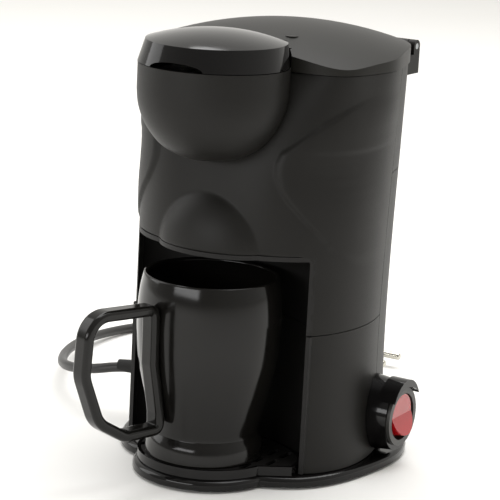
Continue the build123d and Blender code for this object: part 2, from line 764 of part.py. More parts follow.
with BuildPart() as drip_tray:
    add(tray_solid(0.0, tray_low_z, tray_top_z))
    add(tray_solid(1.6, tray_top_z - grille_t, tray_top_z + 1), mode=Mode.SUBTRACT)
    add(tray_solid(3.0, tray_low_z + 1.2, tray_top_z), mode=Mode.SUBTRACT)
    for x in (-20, 0, 20):
        add(slab(x - 1, x + 1, -60, -12, tray_low_z + 1.0, tray_top_z - grille_t))
save(drip_tray, "drip_tray")

with BuildPart() as drip_grille:
    add(tray_solid(1.8, tray_top_z - grille_t, tray_top_z))
    with BuildSketch(Plane.XY.offset(tray_low_z)):
        with Locations((0, -36.0)):
            with GridLocations(7.0, 13.0, 11, 3):
                SlotOverall(10.0, 2.6, rotation=90)
    extrude(amount=10, mode=Mode.SUBTRACT)
save(drip_grille, "drip_grille")


def mug_outline(inset):
    """Half profile of the mug's outer face, foot ring to lip."""
    i = inset
    return [(28.4 - i, mug_low_z), (27.6 - i, mug_low_z + 7.5), (25.8 - i, mug_low_z + 12.0),
            (28.0 - i, 33.0), (31.0 - i, 45.0), (33.5 - i, 58.0), (34.5 - i, 71.0),
            (34.5 - i, 81.0), (33.6 - i, 91.0), (32.2 - i, mug_high_z)]


mug_pose = Location((0, mug_y, 0))

with BuildPart() as mug_outer:
    with BuildSketch(Plane.XZ):
        with BuildLine():
            Polyline((0, mug_low_z), *mug_outline(0.0)[:3])
            Spline(*mug_outline(0.0)[2:])
            Polyline(mug_outline(0.0)[-1], (0, mug_high_z), (0, mug_low_z))
        make_face()
    revolve(axis=Axis.Z)

with BuildPart() as mug_inner:
    with BuildSketch(Plane.XZ):
        with BuildLine():
            Polyline((0, mug_low_z + 12.5), (23.4, mug_low_z + 12.5))
            Spline((23.4, mug_low_z + 12.5), *mug_outline(mug_wall)[3:])
            Polyline(mug_outline(mug_wall)[-1], (mug_outline(mug_wall)[-1][0], mug_high_z + 1),
                     (0, mug_high_z + 1), (0, mug_low_z + 12.5))
        make_face()
    revolve(axis=Axis.Z)

with BuildPart() as mug:
    add(mug_outer.part)
    add(mug_inner.part, mode=Mode.SUBTRACT)
    add(rod(0, 0, mug_low_z, 24.5, 1.6), mode=Mode.SUBTRACT)
mug.part = mug.part.moved(mug_pose)
save(mug, "mug")

handle_path = [(36.6, 78.0), (37.0, 86.0), (75.0, 87.5), (77.0, 60.0), (68.0, 37.0), (52.0, 27.5),
               (31.5, 27.5), (31.8, 36.0), (36.4, 60.0)]

with BuildPart() as mug_handle:
    with BuildLine() as handle_line:
        FilletPolyline(*[(r, 0, z) for r, z in handle_path],
                       radius=[3.0, 3.0, 11.0, 14.0, 14.0, 9.0, 3.0, 6.0, 6.0], close=True)
    with BuildSketch(Plane(origin=handle_line.line @ 0, z_dir=handle_line.line % 0)):
        RectangleRounded(5.2, 9.0, 2.0)
    sweep()
    add(mug_outer.part, mode=Mode.SUBTRACT)
turned = mug_handle.part.rotate(Axis.Z, -90 + handle_turn)
mug_handle.part = turned.moved(mug_pose)
save(mug_handle, "mug_handle")

# --- Mains lead --------------------------------------------------------------------------

cord_r = cord_d / 2
cord_route = [boot_exit, (-79.5, 7.8, 26.2), (-99.0, 2.5, 21.5), (-124.0, 15.0, 16.0),
              (-144.0, 42.0, 11.5), (-159.0, 73.0, 8.0), (-167.5, 106.0, 5.0), (-167.0, 138.0, cord_r),
              (-153.0, 162.0, cord_r), (-129.0, 174.0, cord_r), (-106.0, 173.5, cord_r),
              (-88.0, 170.0, cord_r)]
coil_mid_r = 30.0
coil_x = cord_route[-1][0]
coil_y = cord_route[-1][1] - coil_mid_r
coil_in_r = coil_mid_r - cord_d
coil_out_r = coil_mid_r + cord_d
coil_high = 2 * cord_d + 0.6


def corner_radii(points):
    """Arc radius at each corner: 0.45 of the shorter run over the tangent of half the turn."""
    places = [Vector(*p) for p in points]
    radii = []
    for before, here, after in zip(places, places[1:], places[2:]):
        run_in = here - before
        run_out = after - here
        turn = radians(run_in.get_angle(run_out))
        shorter = min(run_in.length, run_out.length)
        radii.append(0.45 * shorter * cos(turn / 2) / sin(turn / 2))
    return radii


cord_radii = corner_radii(cord_route)
print("cord radii", [round(r, 1) for r in cord_radii])

with BuildPart() as cord_coil:
    add(rod(coil_x, coil_y, 0, coil_out_r, coil_high))
    add(rod(coil_x, coil_y, -1, coil_in_r, coil_high + 2), mode=Mode.SUBTRACT)
    fillet(cord_coil.edges(), radius=2.2)
save(cord_coil, "cord_coil")

with BuildPart() as mains_cord:
    with BuildLine() as cord_line:
        FilletPolyline(*cord_route, radius=cord_radii)
    with BuildSketch(Plane(origin=cord_line.line @ 0, z_dir=cord_line.line % 0)):
        Circle(cord_r)
    sweep()
    cord_length = sum(edge.length for edge in cord_line.edges())
    print("cord length", round(cord_length, 1), "volume over section times length",
          round(mains_cord.part.volume / (pi * cord_r**2 * cord_length), 4))
    add(cord_coil.part, mode=Mode.SUBTRACT)
save(mains_cord, "mains_cord")

with BuildPart() as cord_tie:
    add(slab(coil_x - coil_out_r - 1.2, coil_x - coil_in_r + 1.2, coil_y - 3, coil_y + 3, 0, coil_high + 1))
    add(cord_coil.part, mode=Mode.SUBTRACT)
save(cord_tie, "cord_tie")

boot_start = Vector(*cord_route[0])
boot_way = (Vector(*cord_route[1]) - boot_start).normalized()
boot_length = 24.0

with BuildPart() as cord_boot:
    with BuildSketch(Plane(origin=boot_start, z_dir=boot_way)):
        Circle(4.4)
    with BuildSketch(Plane(origin=boot_start + boot_way * boot_length, z_dir=boot_way)):
        Circle(cord_r + 0.5)
    loft()
    add(rod(boot_start.X - 1.0, boot_start.Y, boot_start.Z, boot_hole_r, 6.0, (1, 0, 0)))
    add(rod(boot_start.X + 3.6, boot_start.Y, boot_start.Z, boot_hole_r + 1.6, 1.8, (1, 0, 0)))
    add(mains_cord.part, mode=Mode.SUBTRACT)
    add(lower_housing.part, mode=Mode.SUBTRACT)
save(cord_boot, "cord_boot")

plug_x = coil_x + 34.0      # where the plug's body starts
plug_y = cord_route[-1][1]
plug_z = 6.9
plug_half_t = 6.8
plug_long = 30.0
pin_spacing = 18.6

with BuildPart() as mains_plug:
    with BuildSketch(Plane.XY.offset(plug_z - plug_half_t)):
        with BuildLine():
            Polyline((plug_x, plug_y - 6.0), (plug_x + 9.0, plug_y - 12.0), (plug_x + 12.0, plug_y - 17.6),
                     (plug_x + plug_long, plug_y - 13.0), (plug_x + plug_long, plug_y + 13.0),
                     (plug_x + 12.0, plug_y + 17.6), (plug_x + 9.0, plug_y + 12.0),
                     (plug_x, plug_y + 6.0), (plug_x, plug_y - 6.0))
        make_face()
    extrude(amount=2 * plug_half_t)
    fillet(mains_plug.edges().filter_by(Axis.Z), radius=2.4)
    with BuildSketch(Plane(origin=(plug_x + 1.0, plug_y, plug_z), z_dir=(-1, 0, 0))):
        Circle(5.0)
    with BuildSketch(Plane(origin=(plug_x - 18.0, plug_y, plug_z), z_dir=(-1, 0, 0))):
        Circle(3.3)
    loft()
    add(cord_coil.part, mode=Mode.SUBTRACT)
save(mains_plug, "mains_plug")

with BuildPart() as plug_pins:
    for side in (-1, 1):
        add(rod(plug_x + plug_long, plug_y + side * pin_spacing / 2, plug_z, 2.0, 18.5, (1, 0, 0)))
    fillet(plug_pins.edges().group_by(Axis.X)[-1], radius=1.2)
save(plug_pins, "plug_pins")

# --- Inner wiring and fasteners ----------------------------------------------------------

with BuildPart() as cord_clamp:
    add(slab(-53.6, -49.0, 5.0, 19.0, 24.6, 31.0))
    add(rod(-54.0, boot_exit[1], boot_exit[2], cord_r, 6.0, (1, 0, 0)), mode=Mode.SUBTRACT)
save(cord_clamp, "cord_clamp")

wire_r = 1.0
wire_floor_z = 12.0


def wire(points, bend):
    """Insulated single wire along straight runs joined by arcs."""
    return hose(points, [bend] * (len(points) - 2), wire_r, 0)


with BuildPart() as wires:
    add(wire([(-53.0, 12.0, 27.0), (-44.0, 12.0, 27.0), (-44.0, 12.0, wire_floor_z), (-44.0, 24.0, wire_floor_z),
              (36.0, 24.0, wire_floor_z), (36.0, pod_y, wire_floor_z + 7.5), (42.9, pod_y, pod_z - 6.0)], 3.0))
    add(wire([(42.9, pod_y, pod_z), (38.0, pod_y, pod_z), (38.0, 8.0, pod_z),
              (heater_half, 8.0, element_z), (heater_half, 11.9, element_z)], 2.0))
save(wires, "wires")

with BuildPart() as base_screws:
    for x, y in screw_places:
        add(rod(x, y, foot_proud - 0.0, 3.0, 1.6))
        add(rod(x, y, foot_proud + 1.6, 1.5, 12.0))
save(base_screws, "base_screws")

with BuildPart() as heater_screws:
    for side in (-1, 1):
        add(rod(side * 32, 35.0, base_floor_z + 1.6, 3.0, 1.6))
        add(rod(side * 32, 35.0, foot_proud + 0.4, 1.5, base_floor_z + 1.2 - foot_proud))
save(heater_screws, "heater_screws")
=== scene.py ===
"""Looks of the one-cup drip coffee maker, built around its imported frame.

Lengths in the classes are millimetres in the frame's own axes: +X right, -Y front, +Z up.
Meshes are made in millimetres and turned to metres when they become a piece.
"""

import logging
import math
from dataclasses import dataclass, field
from enum import Enum
from typing import Callable, Iterable, Sequence

import bmesh
import bpy
import numpy as np
from mathutils import Matrix, Vector

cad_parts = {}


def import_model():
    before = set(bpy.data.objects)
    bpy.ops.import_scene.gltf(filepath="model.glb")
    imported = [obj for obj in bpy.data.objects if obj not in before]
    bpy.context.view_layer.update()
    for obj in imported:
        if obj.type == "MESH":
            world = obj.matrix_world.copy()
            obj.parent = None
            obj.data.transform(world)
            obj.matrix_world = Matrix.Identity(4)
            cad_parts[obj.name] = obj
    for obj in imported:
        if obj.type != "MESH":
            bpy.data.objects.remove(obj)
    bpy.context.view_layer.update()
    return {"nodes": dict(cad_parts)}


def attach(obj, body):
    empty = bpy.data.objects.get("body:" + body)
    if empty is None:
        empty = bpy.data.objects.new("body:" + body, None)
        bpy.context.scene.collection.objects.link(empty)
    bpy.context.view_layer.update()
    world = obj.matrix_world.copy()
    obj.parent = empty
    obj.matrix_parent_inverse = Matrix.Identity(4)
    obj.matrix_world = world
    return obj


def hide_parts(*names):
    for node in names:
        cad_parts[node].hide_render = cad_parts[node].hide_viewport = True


LOG = logging.getLogger("coffee_maker")
MM = 0.001
Point = tuple[float, float, float]


# --- Small tools -------------------------------------------------------------------------


def linear(code: str) -> tuple[float, float, float, float]:
    """Turn an sRGB hex colour into linear values.

    Args:
        code: The colour, such as "#1c1b19".

    Returns:
        Linear red, green, blue and an alpha of one.
    """
    parts = [int(code[i:i + 2], 16) / 255 for i in (1, 3, 5)]
    values = [c / 12.92 if c <= 0.04045 else ((c + 0.055) / 1.055) ** 2.4 for c in parts]
    return (values[0], values[1], values[2], 1.0)


def add_node(tree: bpy.types.NodeTree, kind: str, settings: dict | None = None,
             links: dict | None = None) -> bpy.types.Node:
    """Add one shader node, set it up and link its inputs.

    Args:
        tree: The node tree that takes it.
        kind: The node's type name.
        settings: Attributes of the node, and numbers or colours for its sockets by name.
        links: Output sockets for its input sockets by name.

    Returns:
        The new node.
    """
    node = tree.nodes.new(kind)
    for name, value in (settings or {}).items():
        if name in node.inputs:
            node.inputs[name].default_value = value
        else:
            setattr(node, name, value)
    for name, socket in (links or {}).items():
        tree.links.new(socket, node.inputs[name])
    return node


def revolve(profile: Sequence[tuple[float, float]], centre: tuple[float, float] = (0.0, 0.0),
            steps: int = 96) -> bmesh.types.BMesh:
    """Spin a half profile of (radius, height) about an upright axis.

    Args:
        profile: The outline's points in order.
        centre: X and Y of the axis.
        steps: Number of steps in the full turn.

    Returns:
        The closed mesh.
    """
    shape = bmesh.new()
    verts = [shape.verts.new((r, 0.0, z)) for r, z in profile]
    edges = [shape.edges.new(pair) for pair in zip(verts, verts[1:])]
    bmesh.ops.spin(shape, geom=verts + edges, cent=(0, 0, 0), axis=(0, 0, 1), angle=2 * math.pi,
                   steps=steps, use_merge=True)
    bmesh.ops.remove_doubles(shape, verts=shape.verts, dist=0.001)
    bmesh.ops.translate(shape, vec=(centre[0], centre[1], 0), verts=shape.verts)
    bmesh.ops.recalc_face_normals(shape, faces=shape.faces)
    return shape


def smooth_profile(points: Sequence[tuple[float, float]], steps: int = 6) -> list[tuple[float, float]]:
    """Round a profile with a Catmull-Rom curve through its points."""
    padded = [points[0], *points, points[-1]]
    out = []
    for a, b, c, d in zip(padded, padded[1:], padded[2:], padded[3:]):
        for k in range(steps):
            t = k / steps
            out.append(tuple(0.5 * (2 * b[i] + (c[i] - a[i]) * t
                                    + (2 * a[i] - 5 * b[i] + 4 * c[i] - d[i]) * t ** 2
                                    + (3 * b[i] - a[i] - 3 * c[i] + d[i]) * t ** 3) for i in (0, 1)))
    out.append(points[-1])
    return out


def smoothstep(low: float, high: float, value: float) -> float:
    """Ease from 0 at low to 1 at high."""
    t = min(1.0, max(0.0, (value - low) / (high - low)))
    return t * t * (3 - 2 * t)


def add_modifier(piece: bpy.types.Object, kind: str, **settings: object) -> bpy.types.Modifier:
    """Add a modifier with its settings."""
    modifier = piece.modifiers.new(kind.title(), kind)
    for name, value in settings.items():
        setattr(modifier, name, value)
    return modifier


def bake_modifiers(piece: bpy.types.Object) -> None:
    """Replace a piece's mesh by what its modifiers make of it."""
    bpy.context.view_layer.update()
    graph = bpy.context.evaluated_depsgraph_get()
    made = bpy.data.meshes.new_from_object(piece.evaluated_get(graph))
    piece.modifiers.clear()
    old, piece.data = piece.data, made
    bpy.data.meshes.remove(old)


# --- Finishes ----------------------------------------------------------------------------


@dataclass(frozen=True)
class Finish:
    """A moulded, cast or drawn surface with its own fine grain in colour, gloss and relief.

    grain_mm is the size of the surface's grain, and relief_mm its height. blotch_mm is the size
    of the slow change between the two colours that handling and moulding leave.
    """

    name: str
    colour: str
    second: str
    roughness: float
    uneven: float = 0.05
    grain_mm: float = 0.6
    relief_mm: float = 0.01
    metallic: float = 0.0
    specular: float = 0.5
    coat: float = 0.0
    transmission: float = 0.0
    blotch_mm: float = 25.0
    weave_mm: float = 0.0

    def material(self) -> bpy.types.Material:
        """Build the finish as a node material."""
        material = bpy.data.materials.new(self.name)
        material.use_nodes = True
        tree = material.node_tree
        tree.nodes.clear()
        where = add_node(tree, "ShaderNodeTexCoord").outputs["Object"]
        blotch = add_node(tree, "ShaderNodeTexNoise", {"Scale": 1 / (self.blotch_mm * MM), "Detail": 3.0},
                          {"Vector": where})
        colour = add_node(tree, "ShaderNodeValToRGB", None, {"Fac": blotch.outputs["Fac"]})
        for element, place, code in zip(colour.color_ramp.elements, (0.3, 0.7), (self.colour, self.second)):
            element.position = place
            element.color = linear(code)
        grain = add_node(tree, "ShaderNodeTexNoise", {"Scale": 1 / (self.grain_mm * MM), "Detail": 2.0},
                         {"Vector": where})
        height = grain.outputs["Fac"]
        if self.weave_mm:
            weave = add_node(tree, "ShaderNodeTexChecker", {"Scale": 1 / (self.weave_mm * MM)},
                             {"Vector": where})
            height = weave.outputs["Fac"]
        gloss = add_node(tree, "ShaderNodeMapRange",
                         {"To Min": max(0.03, self.roughness - self.uneven),
                          "To Max": min(1.0, self.roughness + self.uneven)}, {"Value": height})
        relief = add_node(tree, "ShaderNodeBump", {"Distance": self.relief_mm * MM}, {"Height": height})
        shader = add_node(tree, "ShaderNodeBsdfPrincipled",
                          {"Metallic": self.metallic, "Specular IOR Level": self.specular,
                           "Coat Weight": self.coat, "Coat Roughness": 0.05,
                           "Transmission Weight": self.transmission},
                          {"Base Color": colour.outputs["Color"], "Roughness": gloss.outputs["Result"],
                           "Normal": relief.outputs["Normal"]})
        add_node(tree, "ShaderNodeOutputMaterial", None, {"Surface": shader.outputs["BSDF"]})
        return material


class Look(Enum):
    """Every finish of the machine, with the record's slot that it belongs to."""

    # Spark-textured ABS: soft broad sheen, no mirror image, slightly warm black.
    HOUSING = ("housing_black", Finish("abs_spark_textured", "#151412", "#181715", 0.48, 0.06, 0.7, 0.02,
                                       specular=0.22))
    # Satin ABS: finer grain, so a clearer pale sheen at a low angle.
    LID = ("lid_satin", Finish("abs_satin_moulded", "#1a1916", "#1d1c19", 0.42, 0.03, 0.45, 0.006,
                                   specular=0.17))
    # Polished ABS: a mirror-like black skin with hardly any waviness.
    GLOSS = ("gloss_black", Finish("abs_mirror_polished", "#0d0c0c", "#100f0f", 0.09, 0.02, 8.0, 0.002,
                                   specular=0.3))
    # Plain ABS inside: a dull as-moulded black.
    INNER = ("inner_black", Finish("abs_plain_moulded", "#151413", "#181716", 0.55, 0.05, 1.2, 0.01,
                                   specular=0.3))
    # Polished polypropylene of the mug: glossy, with a faint moulding swirl.
    MUG = ("mug_black", Finish("polypropylene_gloss", "#0f0e0d", "#12110f", 0.14, 0.03, 6.0, 0.003,
                                   specular=0.3))
    # Tinted clear ABS of the rocker: red glow under a glossy skin.
    ROCKER = ("rocker_red", Finish("abs_clear_red", "#c8131c", "#b00d16", 0.16, 0.04, 3.0, 0.004,
                                   transmission=0.25, coat=0.5))
    # White hot-stamped marks of the rocker: flat and slightly chalky.
    MARK = ("rocker_red", Finish("stamped_white_paint", "#e9e2df", "#ded6d3", 0.45, 0.05, 0.4, 0.004))
    # Satin nylon of the switch frame: dark grey with a soft pale rim light.
    SWITCH = ("switch_grey", Finish("nylon_satin", "#2b2a28", "#302f2d", 0.38, 0.04, 0.5, 0.008))
    # Polypropylene tank: milky and soft.
    TANK = ("tank_plastic", Finish("polypropylene_natural", "#b9b8b2", "#c4c3bd", 0.42, 0.05, 1.5, 0.01,
                                   transmission=0.3))
    # Woven stainless mesh: threads 0.8 mm apart, drawn as coarse as they can show.
    MESH = ("mesh_steel", Finish("stainless_woven", "#b9b9b6", "#a9a9a6", 0.32, 0.12, 0.8, 0.15,
                                 metallic=1.0, weave_mm=0.8))
    # Zinc-plated screws and clamps: bluish bright steel.
    ZINC = ("zinc_steel", Finish("steel_zinc_plated", "#b4b8ba", "#a2a6a9", 0.3, 0.08, 0.8, 0.01,
                                 metallic=1.0))
    # Sand-cast aluminium heater: grey, grainy and dull.
    CAST = ("heater_cast", Finish("aluminium_cast", "#a3a4a4", "#8f9090", 0.5, 0.1, 0.9, 0.06, metallic=1.0))
    # Silicone hose: milky white with a rubbery sheen.
    SILICONE = ("silicone_white", Finish("silicone_hose", "#d6d4cb", "#cdcbc2", 0.5, 0.05, 1.0, 0.01))
    # Rubber feet: dead matt black.
    RUBBER = ("rubber_black", Finish("rubber_moulded", "#171716", "#1b1b1a", 0.8, 0.08, 0.8, 0.03))
    # Soft PVC of the lead: black with a waxy sheen.
    LEAD = ("cord_black", Finish("pvc_soft", "#1b1a19", "#1f1e1d", 0.4, 0.06, 1.0, 0.01))
    # Nickel-plated brass pins: bright, slightly warm metal.
    PINS = ("brass_pins", Finish("brass_nickel_plated", "#cfccc2", "#c4c1b6", 0.2, 0.05, 1.0, 0.004,
                                 metallic=1.0))
    # White PVC insulation of the inner wires.
    WIRE = ("wire_white", Finish("pvc_white", "#dcdad2", "#d2d0c8", 0.45, 0.05, 1.0, 0.01))

    @property
    def slot(self) -> str:
        """The record's material slot."""
        return self.value[0]


class Wardrobe:
    """Makes each finish once and dresses pieces and CAD nodes in it."""

    def __init__(self) -> None:
        """Build all the materials."""
        self.materials = {look: look.value[1].material() for look in Look}

    def dress(self, piece: bpy.types.Object, look: Look) -> None:
        """Give a new piece its finish."""
        piece.data.materials.clear()
        piece.data.materials.append(self.materials[look])

    def keep(self, nodes: dict[str, bpy.types.Object], look: Look, names: Iterable[str]) -> None:
        """Dress CAD nodes that stay.

        Args:
            nodes: The frame's objects by name.
            look: Their finish.
            names: The nodes.
        """
        for name in names:
            for place in nodes[name].material_slots:
                place.link = "OBJECT"
                place.material = self.materials[look]
            LOG.info("dressed %s in %s", name, look.name)


# --- Plan of the housing -----------------------------------------------------------------


@dataclass(frozen=True)
class Section:
    """Half plan of the housing at one height, mirrored left to right."""

    height: float
    front: float
    shoulder: tuple[float, float]
    corner: tuple[float, float]
    half: float


@dataclass
class HousingPlan:
    """Smooth upright surface through four plan sections."""

    rear: float = 77.0
    sections: tuple[Section, ...] = (
        Section(6.0, -40.0, (34.0, -38.0), (50.0, -30.0), 61.5),
        Section(74.0, -46.0, (32.0, -42.0), (49.5, -30.0), 58.8),
        Section(128.0, -49.0, (30.0, -45.0), (50.0, -29.0), 60.0),
        Section(196.0, -30.0, (36.0, -28.5), (54.5, -22.0), 62.3),
    )
    samples: int = 720
    curves: list[np.ndarray] = field(default_factory=list)

    def __post_init__(self) -> None:
        """Draw the four closed curves."""
        self.curves = [self.closed_curve(section) for section in self.sections]

    def closed_curve(self, section: Section) -> np.ndarray:
        """Points of one section's closed smooth curve, starting at its front and turning right.

        Args:
            section: The half plan.

        Returns:
            An array of X and Y by row.
        """
        x, y = section.corner
        half = section.half
        right = [(0.0, section.front), section.shoulder, section.corner, (half - 2.0, y + 16.0), (half, 10.0),
                 (0.93 * half, 30.0), (0.80 * half, 51.0), (0.48 * half, 70.5), (0.0, self.rear)]
        ring = np.array(right + [(-a, b) for a, b in right[-2:0:-1]])
        count = len(ring)
        step = np.linalg.norm(np.roll(ring, -1, axis=0) - ring, axis=1)
        system = np.zeros((count, count))
        target = np.zeros((count, 2))
        for i in range(count):
            before, after = step[i - 1], step[i]
            system[i, i - 1] += after
            system[i, i] += 2 * (before + after)
            system[i, (i + 1) % count] += before
            target[i] = 3 * (after * (ring[i] - ring[i - 1]) / before
                             + before * (ring[(i + 1) % count] - ring[i]) / after)
        slope = np.linalg.solve(system, target)
        out = []
        per = self.samples // count
        for i in range(count):
            j = (i + 1) % count
            t = np.linspace(0, 1, per, endpoint=False)[:, None]
            out.append((2 * t ** 3 - 3 * t ** 2 + 1) * ring[i]
                       + (t ** 3 - 2 * t ** 2 + t) * step[i] * slope[i]
                       + (3 * t ** 2 - 2 * t ** 3) * ring[j] + (t ** 3 - t ** 2) * step[i] * slope[j])
        return np.vstack(out)

    def outline(self, z: float) -> np.ndarray:
        """The closed outline at a height, by a cubic through the four sections."""
        heights = [section.height for section in self.sections]
        total = np.zeros_like(self.curves[0])
        for i, curve in enumerate(self.curves):
            weight = math.prod((z - h) / (heights[i] - h) for k, h in enumerate(heights) if k != i)
            total = total + weight * curve
        return total


@dataclass
class WallSkin:
    """A stretch of the housing's front wall as a fine grid, with a mug opening and its relief.

    Columns run from the left rear seam round the front to the right one. Two of them follow the
    opening's sides exactly.
    """

    name: str
    low: float
    high: float
    plan: HousingPlan
    seam_y: float = 26.8
    opening_half: float = 47.5
    opening_top: float | None = None
    opening_corner: float = 4.5
    bowl: tuple[tuple[float, float], ...] | None = None
    thickness: float = 2.2
    edge_round: float = 0.9
    side_columns: int = 70
    front_columns: int = 150
    row_step: float = 1.0
    bulge_centre: Point = (0.0, -37.0, 112.0)
    bulge_axes: Point = (30.0, 21.0, 31.0)
    arc: tuple[tuple[float, float], ...] = (
        (104.0, 59.6), (108.7, 57.3), (114.5, 53.9), (123.4, 48.5), (133.1, 41.6),
        (138.5, 37.3), (143.4, 34.1), (149.5, 31.4), (155.6, 31.1), (160.7, 32.9),
        (165.8, 39.3), (171.6, 45.6), (178.2, 53.6), (183.9, 59.4), (187.0, 61.5))
    panel_rise: float = 1.5

    def column_places(self, outline: np.ndarray, columns: np.ndarray) -> np.ndarray:
        """Points of one row: even steps along the side walls and along the front.

        Args:
            outline: The closed outline at the row's height.
            columns: Column positions, 0 at the left seam, 1 and 2 at the opening's sides, 3 at the
                right seam.

        Returns:
            X and Y of each column.
        """
        half = len(outline) // 2
        right = outline[:half]
        length = np.concatenate([[0], np.cumsum(np.linalg.norm(np.diff(right, axis=0), axis=1))])
        widest = int(np.argmax(right[:, 0]))
        at_side = np.interp(self.opening_half, right[:widest, 0], length[:widest])
        at_seam = np.interp(self.seam_y, right[widest // 2:, 1], length[widest // 2:])
        middle = columns - 1.5
        sign = np.sign(middle)
        away = np.abs(middle)
        run = np.where(away < 0.5, away / 0.5 * at_side, at_side + (away - 0.5) * (at_seam - at_side))
        x = np.interp(run, length, right[:, 0]) * sign
        y = np.interp(run, length, right[:, 1])
        return np.stack([x, y, run * sign], axis=1)

    def bulge(self, x: np.ndarray, y: np.ndarray, z: float) -> np.ndarray:
        """Move the wall forward where the low dome over the mug stands proud."""
        cx, cy, cz = self.bulge_centre
        ax, ay, az = self.bulge_axes
        inside = 1 - ((x - cx) / ax) ** 2 - ((z - cz) / az) ** 2
        dome = np.where(inside > 0, cy - ay * np.sqrt(np.maximum(inside, 0)), y)
        blend = 1.2
        gap = np.clip((y - dome) / blend, -1, 1)
        joined = (y + dome) / 2 - np.abs(y - dome) / 2 - 0.25 * blend * (1 - np.abs(gap)) ** 2 * 0.5
        return np.where(inside > 0, np.where(np.abs(gap) < 1, joined, np.minimum(y, dome)), y)

    def panel(self, x: np.ndarray, run: np.ndarray, right: np.ndarray, run_of_x: Callable,
              z: float) -> np.ndarray:
        """How far the side panel stands out behind its crescent step."""
        heights = np.array([p[0] for p in self.arc])
        edge_x = np.array([p[1] for p in self.arc])
        if not heights[0] < z < heights[-1]:
            return np.zeros_like(x)
        edge = run_of_x(np.interp(z, heights, edge_x))
        lean = (np.interp(z + 1, heights, edge_x) - np.interp(z - 1, heights, edge_x)) / 2
        distance = (np.abs(run) - edge) / math.sqrt(1 + 1.2 * lean ** 2)
        swell = smoothstep(heights[0], 136, z) * (1 - smoothstep(166, heights[-1], z))
        width = 1.6 + 3.2 * math.exp(-((z - 153) / 11) ** 2)
        ramp = np.clip(distance / width, 0, 1)
        rise = self.panel_rise * (0.35 + 0.65 * swell) * smoothstep(heights[0], 112, z)
        rise *= 1 - smoothstep(179, heights[-1], z)
        away = np.clip(distance / 46, 0, 1)
        fade = 1 - away ** 2 * (3 - 2 * away)
        return np.where(distance > 0, rise * (1 - (1 - ramp) ** 2) * fade, 0.0)

    def opening_distance(self, x: float, z: float) -> float:
        """Distance from the mug opening's rounded outline, outside it."""
        if self.opening_top is None:
            return abs(x) - self.opening_half
        dx = abs(x) - (self.opening_half - self.opening_corner)
        dz = z - (self.opening_top - self.opening_corner)
        if dx > 0 and dz > 0:
            return math.hypot(dx, dz) - self.opening_corner
        return max(dx, dz) - self.opening_corner

    def round_corner(self, x: float, y: float, z: float) -> Point:
        """Move a point near an upper corner of the opening, so that the grid follows its round."""
        if self.opening_top is None:
            return x, y, z
        corner, reach = self.opening_corner, 2.5
        across = abs(x) - (self.opening_half - corner)
        above = z - (self.opening_top - corner)
        grown = max(across, above) / corner
        if across <= 0 or above <= 0 or grown > reach or grown < 0.2:
            return x, y, z
        length = math.hypot(across, above)
        share = 1 - smoothstep(1.0, reach, grown)
        factor = (1 - share) + share * grown * corner / length
        new_x = math.copysign(self.opening_half - corner + across * factor, x)
        new_z = self.opening_top - corner + above * factor
        outline = self.plan.outline(new_z)
        quarter = outline[:len(outline) // 4]
        return new_x, float(np.interp(abs(new_x), quarter[:, 0], quarter[:, 1])), new_z

    def is_open(self, centre: Vector) -> bool:
        """Whether a face lies in the mug opening or inside the filter bowl's wall."""
        if abs(centre.x) < self.opening_half and centre.y < 0:
            if self.opening_top is None or self.opening_distance(centre.x, centre.z) < 0:
                return True
        if self.bowl is None or centre.z < 155:
            return False
        radius = float(np.interp(centre.z, [p[1] for p in self.bowl[::-1]], [p[0] for p in self.bowl[::-1]]))
        return math.hypot(centre.x, centre.y + 48.0) < radius - 0.6

    def build(self) -> bpy.types.Object:
        """Make the wall as one closed piece."""
        fine = 0.35
        near = np.array([-2.0, -1.0, -0.5, 0.0, 0.5, 1.0, 2.0]) * fine
        sides = np.linspace(0, 1, self.side_columns)[:-1]
        front = np.linspace(1, 2, self.front_columns)
        columns = np.concatenate([sides, front, 3 - sides[::-1]])
        columns = np.unique(np.round(np.concatenate(
            [columns, 1 + near / 45 * 1.0, 2 + near / 45 * 1.0, 1 + near / 95, 2 + near / 95]), 6))
        rows = list(np.arange(self.low, self.high, self.row_step)) + [self.high]
        if self.opening_top is not None:
            rows += [self.opening_top + k * fine for k in (-2, -1, -0.5, 0, 0.5, 1, 2)]
        rows = np.unique(np.round(rows, 4))
        shape = bmesh.new()
        bmesh.ops.create_grid(shape, x_segments=len(columns) - 1, y_segments=len(rows) - 1, size=1.0)
        verts = sorted(shape.verts, key=lambda v: (round(v.co.y, 6), round(v.co.x, 6)))
        for j, z in enumerate(rows):
            outline = self.plan.outline(z)
            place = self.column_places(outline, columns)
            half = outline[:len(outline) // 2]
            length = np.concatenate([[0], np.cumsum(np.linalg.norm(np.diff(half, axis=0), axis=1))])
            widest = int(np.argmax(half[:, 0]))
            x, y, run = place[:, 0], place[:, 1], place[:, 2]
            tangent = np.gradient(place[:, :2], axis=0)
            tangent /= np.linalg.norm(tangent, axis=1)[:, None]
            normal = np.stack([tangent[:, 1], -tangent[:, 0]], axis=1)
            heights = np.full_like(x, z)
            for k in range(len(x)):
                x[k], y[k], heights[k] = self.round_corner(x[k], y[k], z)
            push = self.panel(x, run, half, lambda at: np.interp(at, half[:widest, 0], length[:widest]), z)
            apart = np.array([self.opening_distance(a, b) for a, b in zip(x, heights)])
            depth = np.clip(1 - apart / self.edge_round, 0, 1)
            push -= self.edge_round * (1 - np.sqrt(1 - depth ** 2)) * 0.9
            y_new = self.bulge(x, y, z)
            row = verts[j * len(columns):(j + 1) * len(columns)]
            for vert, a, b, c, out, direction, forward in zip(row, x, y, heights, push, normal, y_new - y):
                vert.co = (a + out * direction[0], b + out * direction[1] + forward, c)
        gone = [face for face in shape.faces if self.is_open(face.calc_center_median())]
        bmesh.ops.delete(shape, geom=gone, context="FACES")
        bmesh.ops.recalc_face_normals(shape, faces=shape.faces)
